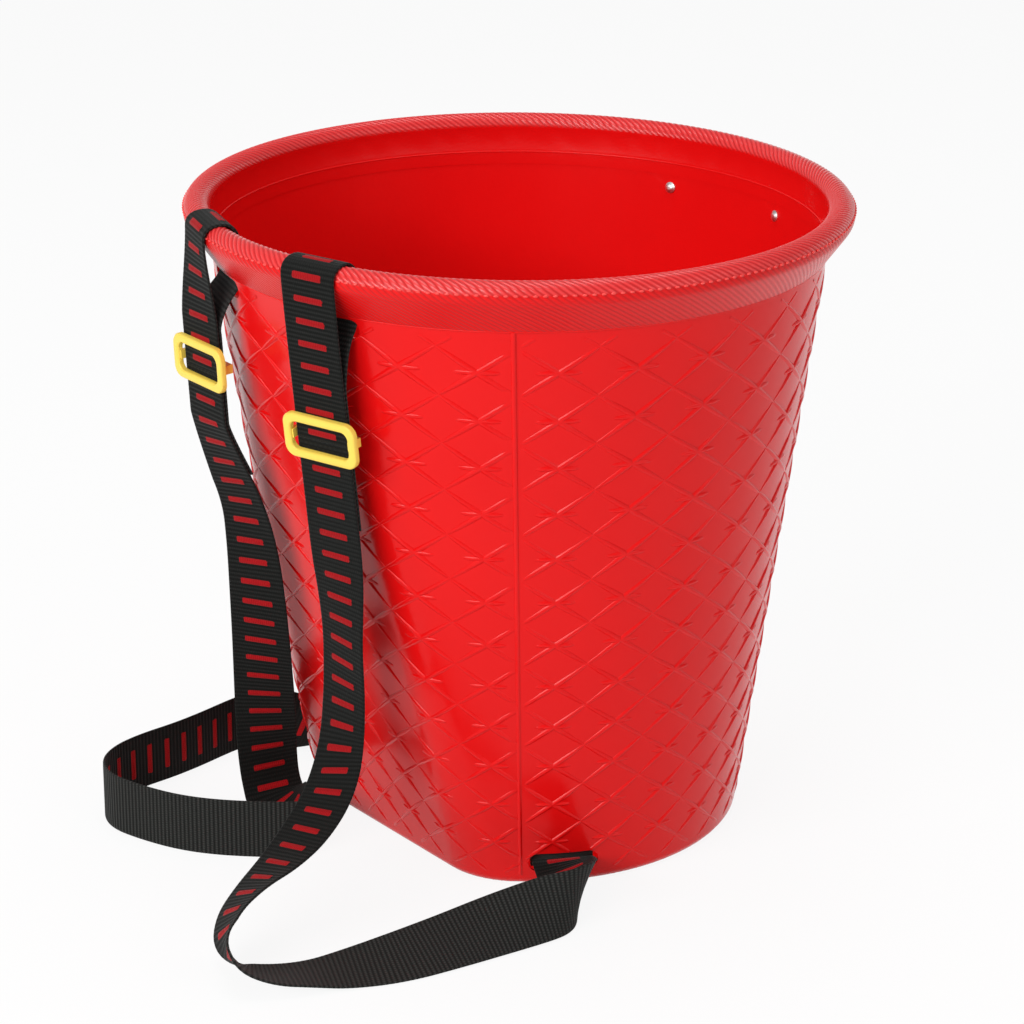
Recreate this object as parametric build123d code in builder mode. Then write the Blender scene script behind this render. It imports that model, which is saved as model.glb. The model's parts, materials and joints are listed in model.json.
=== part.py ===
"""Harvest backpack basket: one moulded basket, round at the rim and flat-backed at the base, carried by two
webbing straps. Each strap loops over the rim, comes out through a slot under it, doubles back through a slide
buckle, hangs to the floor and ends in a slot above the base.

Frame: Z up, floor at z = 0, origin under the middle of the rim. The flat back, which lies against the wearer,
faces -Y. Left and right are the wearer's, so left is +X.
"""

import os
from math import ceil, cos, degrees, radians, sin, sqrt, tan

from build123d import *

os.makedirs("parts", exist_ok=True)

# Rim: a rolled bead on a flared band. The bead is drawn in narrow flats, which keeps its facets few
rim_diameter = 450.0
overall_height = 446.0
bead_diameter = 18.0
bead_flat_turn = 23.0
bead_flats = 10
band_head_angle = -25.0
band_drop = 35.0
band_inset = 17.0
band_lip = 0.6
ridge_drop = 16.0
ridge_proud = 0.5

# Wall and base: a cone that leans back from a base set forward, with a flat back that fades out at the band
wall = 2.4
floor_thickness = 3.0
base_diameter = 300.0
base_forward = 8.0
base_back = 110.5
back_lip = 1.0
back_corner_radius = 60.0
base_edge_radius = 8.0
inner_edge = 6.0
seam_rib_radius = 1.0
seam_angle = 51.0

# Webbing, and the gaps that it keeps from what it lies on, from its other layer and from a buckle
strap_width = 42.0
strap_thickness = 1.8
strap_angle = 16.5
seat_gap = 0.3
layer_gap = 0.6
running_gap = 0.3

# Slots for the webbing, a drop below the band's foot and above the base
rim_slot_height = 12.5
rim_slot_drop = 8.0
slot_side_room = 3.0
low_slot_height = 14.0
low_slot_centre_height = 18.0
low_slot_angle = 62.0

# Strap loops at the rim: where the front layer leaves the bead, and how each strap hangs from there.
# Their drops are from the top of the rim
leave_drop = 18.0
slot_entry_rise = 4.0
slot_exit_drop = 8.0
slot_exit_reach = 3.0
left_lean = 0.139
left_meet_drop = 78.0
left_tail_drop = 179.0
left_exit_drop = 185.0
left_buckle_drop = 117.0
right_upper_lean = 0.036
right_upper_drop = 62.0
right_lean = 0.056
right_bend_drop = 140.0
right_bend_radius = 55.0
right_low_lean = 0.381
right_meet_drop = 68.0
right_tail_drop = 176.0
right_exit_drop = 182.0
right_exit_face = 12.0
right_buckle_drop = 96.0

# Free runs: their straight first and last stretches, and how closely every strap's bends and twists are cut
exit_run = 20.0
slot_run = 26.0
slot_twist = 58.0
arc_share = 0.45
turn_step = 16.0
twist_step = 10.0
closeness = 1e-6

# Slide buckles
buckle_side_room = 2.0
buckle_length = 31.0
buckle_bar = 6.0
buckle_thickness = 4.0
buckle_corner = 8.0
buckle_edge = 1.2
centre_bar_length = 6.0
centre_bar_thickness = 3.0
centre_bar_side_room = 1.0
centre_bar_arm = 3.0

# Rolled and sewn strap ends inside the lower slots
stop_height = 17.0
stop_depth = 9.0

# Two rivets, a drop below the band's foot, at angles from the front towards +X
rivet_drop = 9.0
rivet_angles = (-19.6, 9.9)
rivet_shank = 4.0
rivet_hole_room = 0.2
rivet_seat = 0.1
rivet_head = 8.0
rivet_head_rise = 2.2
rivet_tail = 6.4
rivet_tail_rise = 1.4
button_flat = 0.4
button_edge = 0.4
washer_diameter = 11.0
washer_thickness = 1.0

# Values worked out from the sizes above
bead_radius = bead_diameter / 2
bead_ring = rim_diameter / 2 - bead_radius
bead_height = overall_height - bead_radius
band_foot_height = overall_height - band_drop
rim_slot_centre_height = band_foot_height - rim_slot_drop
rivet_height = band_foot_height - rivet_drop
leave_height = overall_height - leave_drop
left_meet_height = overall_height - left_meet_drop
left_tail_height = overall_height - left_tail_drop
left_exit_height = overall_height - left_exit_drop
left_buckle_height = overall_height - left_buckle_drop
right_upper_height = overall_height - right_upper_drop
right_bend_height = overall_height - right_bend_drop
right_meet_height = overall_height - right_meet_drop
right_tail_height = overall_height - right_tail_drop
right_exit_height = overall_height - right_exit_drop
right_buckle_height = overall_height - right_buckle_drop
foot_radius = rim_diameter / 2 - band_inset
wall_top = foot_radius - band_lip
inner_foot = wall_top - wall - band_lip
base_radius = base_diameter / 2
wall_lean = (wall_top - base_radius) / band_foot_height
axis_top = wall_top * wall_lean * base_forward / band_foot_height
apex_height = -base_radius * band_foot_height / (wall_top - base_radius - axis_top)
strap_half = strap_width / 2
layer_pitch = strap_thickness + layer_gap
strap_seat = seat_gap + strap_thickness / 2
slot_width = strap_width + 2 * slot_side_room
buckle_width = strap_width + 2 * (buckle_side_room + buckle_bar)
UP = Vector(0, 0, 1)
wall_axis = Vector(0, axis_top - base_forward, band_foot_height).normalized()
wall_apex = Vector(0, base_forward, 0) + wall_axis * (apex_height / wall_axis.Z)
front_up = Vector(0, wall_top - base_forward - base_radius, band_foot_height)
wall_flare = tan(radians(front_up.get_angle(wall_axis)))


def polar(radius, angle, height=0.0):
    """Point at a radius and an angle from +X."""
    return Vector(radius * cos(radians(angle)), radius * sin(radians(angle)), height)


def mirrored(side, point):
    """The same point on the left, +X, or on the right."""
    return Vector(side * point.X, point.Y, point.Z)


def wall_point(angle, height):
    """Point of the wall's outside at an angle from +X about the cone's axis, where the wall is round."""
    along = (height - apex_height) / wall_axis.Z
    out = polar(1, angle)
    rise = out.dot(wall_axis)
    reach = along * wall_flare / (sqrt(1 - rise**2) - wall_flare * rise)
    return wall_apex + wall_axis * along + out * reach


def flat_backed_cone(inset, low):
    """The basket's form up to the band, drawn in by an inset, with a flat back blended into the cone."""
    front_low = wall_point(90, -band_foot_height)
    front_top = wall_point(90, 2 * band_foot_height)
    with BuildPart() as form:
        with BuildSketch(Plane.YZ):
            with BuildLine():
                Polyline(
                    (2 * base_forward - axis_top, front_low.Z),
                    (front_low.Y - inset, front_low.Z),
                    (front_top.Y - inset, front_top.Z),
                    (2 * axis_top - base_forward, front_top.Z),
                    close=True,
                )
            make_face()
        revolve(axis=Axis(wall_apex, wall_axis))
        with BuildSketch(Plane.XY.offset(low)):
            Circle(rim_diameter)
        extrude(amount=band_foot_height - low, mode=Mode.INTERSECT)
        with BuildSketch(Plane.YZ):
            with BuildLine():
                Polyline(
                    (inset - base_back, low),
                    (inset + back_lip - wall_top, band_foot_height),
                    (-rim_diameter, band_foot_height),
                    (-rim_diameter, low),
                    close=True,
                )
            make_face()
        extrude(amount=rim_diameter, both=True, mode=Mode.SUBTRACT)
        flat_back = form.faces().filter_by(GeomType.PLANE).sort_by(Axis.Y)[0]
        creases = flat_back.edges().sort_by(SortBy.LENGTH)[-2:]
        fillet(creases, back_corner_radius - inset)
    return form.part


def bead_point(angle):
    """Point of the bead's section at an angle from straight outwards."""
    return Vector(bead_ring, bead_height) + polar(bead_radius, angle)


def across(face):
    """Level direction across a strap whose face looks out at an angle from -Y towards +X."""
    return polar(1, face)


def radial_point(side, radius, height):
    """Point on the upright plane through the axis that holds a strap's loop."""
    return mirrored(side, polar(radius, strap_angle - 90, height))


def leaning(reach, top, lean, height):
    """Reach of a leaning stretch of strap at a height below its top."""
    return reach - lean * (top - height)


def outward(direction, width):
    """Direction that a strap's face looks in, where it runs in a direction with its width across."""
    return width.cross(direction).normalized()


def route_radii(points):
    """Largest arcs that the runs beside each corner allow."""
    radii = []
    for before, corner, after in zip(points, points[1:], points[2:]):
        turn = radians((corner - before).get_angle(after - corner))
        shorter = min((corner - before).length, (after - corner).length)
        radii.append(arc_share * shorter / tan(turn / 2))
    return radii


def strap_stations(points, radii, widths):
    """Distances along a strap's line with the direction across it there, close on its bends and twists."""
    turns = [radians((b - a).get_angle(c - b)) for a, b, c in zip(points, points[1:], points[2:])]
    cuts = [0.0] + [radius * tan(turn / 2) for radius, turn in zip(radii, turns)] + [0.0]
    bends = [0.0] + [radius * turn for radius, turn in zip(radii, turns)] + [0.0]
    marks = [0.0]
    distances = []
    for i in range(1, len(points)):
        straight = (points[i] - points[i - 1]).length - cuts[i - 1] - cuts[i]
        low = marks[-1] + bends[i - 1] / 2
        high = low + straight
        marks.append(high + bends[i] / 2)
        steps = max(1, ceil(widths[i - 1].get_angle(widths[i]) / twist_step))
        distances += [low + straight * k / steps for k in range(steps + 1)]
        arcs = max(2, ceil(degrees(turns[i - 1]) / turn_step)) if i <= len(turns) else 0
        distances += [high + bends[i] * k / arcs for k in range(1, arcs)]
    stations = []
    for distance in distances:
        i = max(k for k in range(len(points) - 1) if marks[k] <= distance + closeness)
        share = (distance - marks[i]) / (marks[i + 1] - marks[i])
        stations.append((distance, widths[i] * (1 - share) + widths[i + 1] * share))
    return stations


def strap_sections(points, radii, widths):
    """A strap's cross sections along its line, and the line's length."""
    with BuildLine():
        line = FilletPolyline(*points, radius=radii)
    sections = []
    for distance, width in strap_stations(points, radii, widths):
        place = line.position_at(distance, position_mode=PositionMode.LENGTH)
        heading = line.tangent_at(distance, position_mode=PositionMode.LENGTH)
        with BuildSketch(Plane(place, x_dir=width, z_dir=heading)) as section:
            Rectangle(strap_width, strap_thickness)
        sections.append(section.sketch)
    return sections, line.length


def print_strap(name, solid, length, radii):
    """Print a strap's length, its bends and its volume over its section times its length."""
    fill = solid.volume / (strap_width * strap_thickness * length)
    bends = " ".join(f"{radius:.0f}" for radius in radii)
    print(f"{name}: length {length:.0f}, volume ratio {fill:.3f}, bends {bends}")


# The basket's hollow, then the basket: wall, floor, rolled rim, corner seams, slots and rivet holes
with BuildPart() as hollow:
    add(flat_backed_cone(wall, floor_thickness))
    chamfer(hollow.faces().sort_by(Axis.Z)[0].edges(), inner_edge)

ridge_height = bead_height - ridge_drop
bead_points = [bead_point(band_head_angle + bead_flat_turn * i) for i in range(bead_flats + 1)]
inner_top = bead_points[-1]
ridge_share = (ridge_height - band_foot_height) / (inner_top.Y - band_foot_height)
ridge_radius = inner_foot + (inner_top.X - inner_foot) * ridge_share

low_slots = []
for side in (1, -1):
    slot_centre = mirrored(side, wall_point(low_slot_angle - 90, low_slot_centre_height))
    slot_out = mirrored(side, polar(1, low_slot_angle - 90))
    low_slots.append(Plane(slot_centre, x_dir=slot_out.cross(UP), z_dir=slot_out))

rivet_planes = []
for angle in rivet_angles:
    rivet_seat_point = wall_point(90 - angle, rivet_height)
    wall_up = wall_point(90 - angle, band_foot_height) - rivet_seat_point
    level = polar(1, -angle)
    rivet_planes.append(Plane(rivet_seat_point, x_dir=level, z_dir=wall_up.cross(level)))

with BuildPart() as basket_shell:
    add(flat_backed_cone(0, 0))
    fillet(basket_shell.faces().sort_by(Axis.Z)[0].edges(), base_edge_radius)
    add(hollow.part, mode=Mode.SUBTRACT)
    with BuildSketch(Plane.XZ):
        with BuildLine():
            Polyline(
                (foot_radius, band_foot_height),
                *bead_points,
                (ridge_radius, ridge_height + 2 * ridge_proud),
                (ridge_radius - ridge_proud, ridge_height),
                (inner_foot, band_foot_height),
                close=True,
            )
        make_face()
    revolve(axis=Axis.Z)
    for side in (1, -1):
        seam_foot = mirrored(side, wall_point(seam_angle - 90, base_edge_radius + seam_rib_radius))
        seam_head = mirrored(side, wall_point(seam_angle - 90, band_foot_height))
        with BuildSketch(Plane(seam_foot, x_dir=(0, 1, 0), z_dir=seam_head - seam_foot)):
            Circle(seam_rib_radius)
        extrude(amount=(seam_head - seam_foot).length)
        rim_slot = radial_point(side, foot_radius, rim_slot_centre_height)
        rim_slot_out = (rim_slot.X, rim_slot.Y, 0)
        with BuildSketch(Plane(rim_slot, x_dir=across(side * strap_angle), z_dir=rim_slot_out)):
            SlotOverall(slot_width, rim_slot_height)
        extrude(amount=rim_slot_height, both=True, mode=Mode.SUBTRACT)
    for plane in low_slots:
        with BuildSketch(plane):
            SlotOverall(slot_width, low_slot_height)
        extrude(amount=low_slot_height, both=True, mode=Mode.SUBTRACT)
    for plane in rivet_planes:
        with BuildSketch(plane):
            Circle((rivet_shank + rivet_hole_room) / 2)
        extrude(amount=rivet_head, both=True, mode=Mode.SUBTRACT)

# The straps' loops: up the front, over the bead, out through the slot and down behind the front layer
outer_line = rim_diameter / 2 + strap_seat
top_line = overall_height + strap_seat
edge_sag = foot_radius - sqrt(foot_radius**2 - strap_half**2)
slot_head_lean = (rim_slot_drop - rim_slot_height / 2) * wall_lean
inner_side = min(inner_foot - slot_head_lean, bead_ring - bead_radius)
inner_line = inner_side - strap_seat - edge_sag - strap_thickness / 2
wrap_radius = bead_radius + strap_seat


def rim_crossing(side):
    """Points that carry a strap from its front layer over the bead and out through the slot under it."""
    return [
        radial_point(side, outer_line, leave_height),
        radial_point(side, outer_line, top_line),
        radial_point(side, inner_line, top_line),
        radial_point(side, inner_line, rim_slot_centre_height + slot_entry_rise),
        radial_point(side, foot_radius + slot_exit_reach, rim_slot_centre_height - slot_exit_drop),
    ]


def left_front(height):
    """Point of the left strap's front layer."""
    return radial_point(1, leaning(outer_line, leave_height, left_lean, height), height)


left_across = across(strap_angle)
left_out = outward(left_front(leave_height) - left_front(left_exit_height), left_across)
left_points = [
    left_front(left_exit_height),
    *rim_crossing(1),
    left_front(left_meet_height) - left_out * layer_pitch,
    left_front(left_tail_height) - left_out * layer_pitch,
]
left_widths = [left_across] * len(left_points)
left_radii = route_radii(left_points)
left_radii[1] = wrap_radius
left_radii[2] = wrap_radius
left_loop_sections, left_loop_length = strap_sections(left_points, left_radii, left_widths)
with BuildPart() as left_rim_loop:
    loft(left_loop_sections, ruled=True)
print_strap("left_rim_loop", left_rim_loop.part, left_loop_length, left_radii)

right_upper_reach = leaning(outer_line, leave_height, right_upper_lean, right_upper_height)
right_bend_reach = leaning(right_upper_reach, right_upper_height, right_lean, right_bend_height)


def right_front(height):
    """Point of the right strap's front layer, between its upper height and its bend."""
    return radial_point(-1, leaning(right_upper_reach, right_upper_height, right_lean, height), height)


def right_low(height):
    """Point of the right strap's front layer below its bend."""
    return radial_point(-1, leaning(right_bend_reach, right_bend_height, right_low_lean, height), height)


def right_low_across(height):
    """Direction across the right strap below its bend, where its face turns towards the left."""
    share = (right_bend_height - height) / (right_bend_height - right_exit_height)
    return across(right_exit_face * share)


right_across = across(0)
right_out = outward(right_front(right_upper_height) - right_front(right_bend_height), right_across)
right_tail_out = outward(
    right_low(right_bend_height) - right_low(right_exit_height), right_low_across(right_tail_height)
)
right_points = [
    right_low(right_exit_height),
    right_front(right_bend_height),
    right_front(right_upper_height),
    *rim_crossing(-1),
    right_front(right_meet_height) - right_out * layer_pitch,
    right_front(right_bend_height) - right_out * layer_pitch,
    right_low(right_tail_height) - right_tail_out * layer_pitch,
]
right_widths = [
    right_low_across(right_exit_height),
    right_across,
    right_across,
    *[across(-strap_angle)] * 5,
    right_across,
    right_across,
    right_low_across(right_tail_height),
]
right_radii = route_radii(right_points)
right_radii[0] = right_bend_radius
right_radii[3] = wrap_radius
right_radii[4] = wrap_radius
right_radii[8] = right_bend_radius - layer_pitch
right_loop_sections, right_loop_length = strap_sections(right_points, right_radii, right_widths)
with BuildPart() as right_rim_loop:
    loft(right_loop_sections, ruled=True)
print_strap("right_rim_loop", right_rim_loop.part, right_loop_length, right_radii)

# The free runs, from the loops down to the floor, along it and back to the lower slots: points chosen by
# hand, each with the direction across the strap there
left_run = [
    ((56.0, -189.0, 213.0), across(8)),
    ((55.5, -187.6, 182.0), across(1)),
    ((52.2, -184.6, 143.5), (0.99, 0.08, 0.1)),
    ((54.8, -189.0, 109.5), (0.98, 0.15, 0.12)),
    ((68.0, -208.3, 85.0), (0.98, 0.18, 0.07)),
    ((76.8, -233.0, 68.0), (0.99, 0.14, 0.06)),
    ((81.3, -259.9, 54.0), (0.99, 0.05, 0.11)),
    ((82.9, -283.1, 43.0), (0.97, -0.09, 0.21)),
    ((84.6, -300.6, 34.0), (0.93, -0.21, 0.3)),
    ((88.3, -311.4, 21.0), (0.87, -0.37, 0.34)),
    ((97.0, -310.5, 6.4), (0.79, -0.61, 0.0)),
    ((114.6, -300.6, 1.8), (0.7, -0.71, 0.0)),
    ((133.4, -278.6, 1.8), (0.8, -0.6, -0.02)),
    ((149.0, -254.4, 4.0), (0.88, -0.46, -0.12)),
    ((163.5, -221.4, 8.6), (0.89, -0.28, -0.36)),
    ((170.3, -186.4, 11.8), (0.86, -0.16, -0.48)),
    ((176.8, -150.6, 15.8), (0.73, -0.13, -0.67)),
    ((181.2, -122.6, 19.8), (0.52, -0.08, -0.85)),
    ((183.5, -107.0, 21.8), (0.24, 0.02, -0.97)),
    ((178.8, -91.5, 21.8), (-0.1, -0.19, -0.98)),
    ((170.5, -83.2, 20.2), (-0.25, -0.47, -0.85)),
]
right_run = [
    ((-54.6, -184.3, 214.0), across(22)),
    ((-53.8, -181.8, 180.0), across(30)),
    ((-58.4, -176.7, 143.5), across(36)),
    ((-65.9, -170.4, 107.5), across(44)),
    ((-72.5, -165.0, 76.0), across(56)),
    ((-76.7, -161.7, 49.0), across(70)),
    ((-75.0, -160.4, 26.5), across(75)),
    ((-63.0, -163.0, 16.0), (0.24, 0.9, 0.36)),
    ((-44.7, -167.0, 17.0), (0.15, 0.55, 0.82)),
    ((-27.6, -170.5, 21.8), UP),
    ((-14.4, -176.6, 21.8), UP),
    ((-12.3, -188.8, 21.8), UP),
    ((-22.5, -203.0, 21.8), UP),
    ((-41.8, -224.4, 21.8), UP),
    ((-66.2, -242.7, 21.8), UP),
    ((-95.7, -255.0, 21.8), UP),
    ((-123.0, -262.0, 21.8), UP),
    ((-146.5, -255.0, 21.8), UP),
    ((-161.7, -235.6, 21.8), UP),
    ((-167.8, -210.2, 21.8), UP),
    ((-169.4, -181.7, 21.8), UP),
    ((-173.4, -156.3, 21.8), UP),
    ((-178.5, -134.0, 21.8), UP),
    ((-182.0, -115.0, 21.8), UP),
    ((-181.0, -99.5, 21.6), (-0.02, 0.03, 1.0)),
    ((-172.0, -86.0, 20.6), (-0.12, 0.23, 0.96)),
]

stop_lift = (stop_height - stop_depth) / 2 * wall_lean
stop_sag = strap_half**2 / (2 * (base_radius - wall))
stop_reach = wall + stop_sag + stop_lift + seat_gap


def whole_route(loop_points, loop_widths, run, run_side, slot):
    """A free run's points and widths, from the end of its loop to its rolled end behind the slot."""
    start = loop_points[0]
    down = (start - loop_points[1]).normalized()
    points = [start, start + down * exit_run]
    points += [Vector(point) for point, width in run]
    points += [slot.origin + slot.z_dir * slot_run, slot.origin - slot.z_dir * stop_reach]
    widths = [loop_widths[0], loop_widths[0]]
    widths += [Vector(width) for point, width in run]
    on_edge = UP * run_side * cos(radians(slot_twist))
    widths += [on_edge + slot.x_dir * sin(radians(slot_twist)), slot.x_dir]
    return points, widths


left_run_points, left_run_widths = whole_route(left_points, left_widths, left_run, -1, low_slots[0])
left_run_radii = route_radii(left_run_points)
left_run_sections, left_run_length = strap_sections(left_run_points, left_run_radii, left_run_widths)
with BuildPart() as left_shoulder_run:
    loft(left_run_sections, ruled=True)
print_strap("left_shoulder_run", left_shoulder_run.part, left_run_length, left_run_radii)

right_run_points, right_run_widths = whole_route(right_points, right_widths, right_run, 1, low_slots[1])
right_run_radii = route_radii(right_run_points)
right_run_sections, right_run_length = strap_sections(right_run_points, right_run_radii, right_run_widths)
with BuildPart() as right_shoulder_run:
    loft(right_run_sections, ruled=True)
print_strap("right_shoulder_run", right_shoulder_run.part, right_run_length, right_run_radii)

# The strap ends, rolled up and sewn so that they can't pull back through the slots
stops = []
for slot in low_slots:
    stop_centre = slot.origin - slot.z_dir * (stop_reach + stop_depth / 2)
    with BuildPart() as strap_stop:
        with BuildSketch(Plane(stop_centre, x_dir=slot.z_dir, z_dir=slot.x_dir)):
            SlotOverall(stop_height, stop_depth, rotation=90)
        extrude(amount=strap_half, both=True)
    stops.append(strap_stop)

# The slide buckles: a rounded frame in front of both layers, and a centre bar behind them on two side arms
window_width = buckle_width - 2 * buckle_bar
window_length = buckle_length - 2 * buckle_bar
bar_front = 2 * running_gap + 2 * strap_thickness + layer_gap
bar_back = bar_front + centre_bar_thickness
arm_centre = strap_half + centre_bar_side_room + centre_bar_arm / 2
bar_width = 2 * arm_centre + centre_bar_arm
buckle_lift = strap_thickness / 2 + running_gap
buckle_planes = [
    Plane(left_front(left_buckle_height) + left_out * buckle_lift, x_dir=left_across, z_dir=left_out),
    Plane(right_front(right_buckle_height) + right_out * buckle_lift, x_dir=right_across, z_dir=right_out),
]
buckles = []
for plane in buckle_planes:
    with BuildPart() as buckle:
        with BuildSketch(plane):
            RectangleRounded(buckle_width, buckle_length, buckle_corner)
            RectangleRounded(window_width, window_length, buckle_corner - buckle_bar / 2, mode=Mode.SUBTRACT)
        extrude(amount=buckle_thickness)
        front = buckle.faces().sort_by(Axis(plane.origin, plane.z_dir))[-1]
        chamfer(front.edges(), buckle_edge)
        with BuildSketch(plane.offset(-bar_back)):
            Rectangle(bar_width, centre_bar_length)
        extrude(amount=centre_bar_thickness)
        with BuildSketch(plane.offset(-bar_back)):
            with Locations((-arm_centre, 0), (arm_centre, 0)):
                Rectangle(centre_bar_arm, centre_bar_length)
        extrude(amount=bar_back + buckle_thickness / 2)
    buckles.append(buckle)


# Two rivets through the front wall: a button head inside, and a tail closed over a washer outside
head_face = -(wall + rivet_seat)
head_top = head_face - rivet_head_rise
tail_face = rivet_seat + washer_thickness
tail_top = tail_face + rivet_tail_rise

with BuildPart() as front_rivets:
    for plane in rivet_planes:
        section = Plane(plane.origin, x_dir=plane.x_dir, z_dir=plane.x_dir.cross(plane.z_dir))
        with BuildSketch(section):
            with BuildLine():
                Polyline(
                    (0, head_top),
                    (rivet_head / 2 * button_flat, head_top),
                    (rivet_head / 2, head_face - rivet_head_rise * button_edge),
                    (rivet_head / 2, head_face),
                    (rivet_shank / 2, head_face),
                    (rivet_shank / 2, tail_face),
                    (rivet_tail / 2, tail_face),
                    (rivet_tail / 2, tail_face + rivet_tail_rise * button_edge),
                    (rivet_tail / 2 * button_flat, tail_top),
                    (0, tail_top),
                    close=True,
                )
            make_face()
        revolve(axis=Axis(plane.origin, plane.z_dir))

with BuildPart() as rivet_washers:
    for plane in rivet_planes:
        with BuildSketch(plane.offset(rivet_seat)):
            Circle(washer_diameter / 2)
            Circle((rivet_shank + rivet_hole_room) / 2, mode=Mode.SUBTRACT)
        extrude(amount=washer_thickness)

pieces = {
    "basket_shell": basket_shell,
    "left_rim_loop": left_rim_loop,
    "right_rim_loop": right_rim_loop,
    "left_shoulder_run": left_shoulder_run,
    "right_shoulder_run": right_shoulder_run,
    "left_strap_stop": stops[0],
    "right_strap_stop": stops[1],
    "left_buckle": buckles[0],
    "right_buckle": buckles[1],
    "front_rivets": front_rivets,
    "rivet_washers": rivet_washers,
}
for name, piece in pieces.items():
    piece.part.label = name
    export_step(piece.part, f"parts/{name}.step")
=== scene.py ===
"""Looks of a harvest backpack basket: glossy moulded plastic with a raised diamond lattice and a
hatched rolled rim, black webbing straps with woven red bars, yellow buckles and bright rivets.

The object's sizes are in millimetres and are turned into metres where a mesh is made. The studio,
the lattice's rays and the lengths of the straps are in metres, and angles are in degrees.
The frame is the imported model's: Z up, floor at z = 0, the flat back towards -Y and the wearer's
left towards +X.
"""

from __future__ import annotations

import json
import logging
import math
from collections.abc import Sequence
from dataclasses import dataclass, field
from enum import Enum
from typing import Any

import bmesh
import bpy
import numpy as np
from mathutils import Matrix, Vector

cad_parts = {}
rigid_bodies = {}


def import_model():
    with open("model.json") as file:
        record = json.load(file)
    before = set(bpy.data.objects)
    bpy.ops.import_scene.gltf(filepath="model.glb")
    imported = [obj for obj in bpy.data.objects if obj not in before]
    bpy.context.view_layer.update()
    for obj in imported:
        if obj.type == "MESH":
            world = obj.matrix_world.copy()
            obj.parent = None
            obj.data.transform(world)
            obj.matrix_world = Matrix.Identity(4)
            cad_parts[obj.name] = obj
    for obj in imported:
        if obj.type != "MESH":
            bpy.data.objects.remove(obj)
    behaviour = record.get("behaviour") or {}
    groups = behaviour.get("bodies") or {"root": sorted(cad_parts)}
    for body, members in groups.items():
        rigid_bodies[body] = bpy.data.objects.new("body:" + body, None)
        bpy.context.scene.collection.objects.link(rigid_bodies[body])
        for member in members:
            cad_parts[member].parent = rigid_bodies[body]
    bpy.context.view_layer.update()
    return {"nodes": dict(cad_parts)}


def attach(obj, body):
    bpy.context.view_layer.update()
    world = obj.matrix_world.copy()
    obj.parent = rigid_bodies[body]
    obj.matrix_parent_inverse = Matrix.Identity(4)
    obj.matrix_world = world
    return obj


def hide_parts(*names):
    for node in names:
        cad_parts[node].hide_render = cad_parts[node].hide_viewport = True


MM = 0.001
TURN = 2 * math.pi
WELD = 1e-6
PEEL_SCALE = 420.0
WEAVE_MAP = "weave"
WHITE = (1.0, 1.0, 1.0, 1.0)
Triple = tuple[float, float, float]
Route = list[tuple[Triple, Triple]]
log = logging.getLogger("basket")


class Body(Enum):
    """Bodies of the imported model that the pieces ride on."""

    BASKET = "basket"
    LEFT_SLIDER = "left_slider"
    RIGHT_SLIDER = "right_slider"


class Socket:
    """A node's output whose arithmetic adds Math nodes to its tree."""

    def __init__(self, graph: Graph, socket: bpy.types.NodeSocket) -> None:
        """Keep the tree and the socket."""
        self.graph = graph
        self.socket = socket

    def math(self, operation: str, *others: Any) -> Socket:
        """Add one Math node.

        Args:
            operation: Blender's name of the operation.
            others: The second and third operands, if it takes them.

        Returns:
            The node's result.
        """
        inputs = dict(enumerate((self, *others)))
        return self.graph.node("ShaderNodeMath", inputs, operation=operation)

    def __add__(self, other: Any) -> Socket:
        """Sum."""
        return self.math("ADD", other)

    __radd__ = __add__

    def __mul__(self, other: Any) -> Socket:
        """Product."""
        return self.math("MULTIPLY", other)

    __rmul__ = __mul__

    def __sub__(self, other: Any) -> Socket:
        """Difference."""
        return self.math("SUBTRACT", other)

    def __rsub__(self, other: Any) -> Socket:
        """Difference from a number."""
        return (self * -1.0) + other

    def __truediv__(self, other: Any) -> Socket:
        """Quotient."""
        return self.math("DIVIDE", other)

    def __lt__(self, other: Any) -> Socket:
        """One where this is smaller, and zero elsewhere."""
        return self.math("LESS_THAN", other)

    def __gt__(self, other: Any) -> Socket:
        """One where this is larger, and zero elsewhere."""
        return self.math("GREATER_THAN", other)

    def wave(self, operation: str) -> Socket:
        """Sine or cosine, from zero to one."""
        return self.math(operation) * 0.5 + 0.5

    def clamped(self) -> Socket:
        """The value, held between zero and one."""
        return self.math("MAXIMUM", 0.0).math("MINIMUM", 1.0)


class Graph:
    """A node tree that nodes are added to through one method."""

    def __init__(self, tree: bpy.types.NodeTree) -> None:
        """Keep the tree."""
        self.tree = tree

    def node(
        self,
        kind: str,
        inputs: dict[str | int, Any] | None = None,
        output: str | int = 0,
        **settings: Any,
    ) -> Socket:
        """Add a node, set it up and link it.

        Args:
            kind: Blender's type of the node.
            inputs: Values or links of its sockets, by name or place.
            output: The output to return, by name or place.
            settings: Attributes of the node, set first.

        Returns:
            That output.
        """
        made = self.tree.nodes.new(kind)
        for name, value in settings.items():
            setattr(made, name, value)
        for key, value in (inputs or {}).items():
            if isinstance(value, Socket):
                self.tree.links.new(value.socket, made.inputs[key])
            else:
                made.inputs[key].default_value = value
        return Socket(self, made.outputs[output] if len(made.outputs) else None)

    def also(self, socket: Socket, output: str | int) -> Socket:
        """Another output of the node that a socket belongs to."""
        return Socket(self, socket.socket.node.outputs[output])


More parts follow.
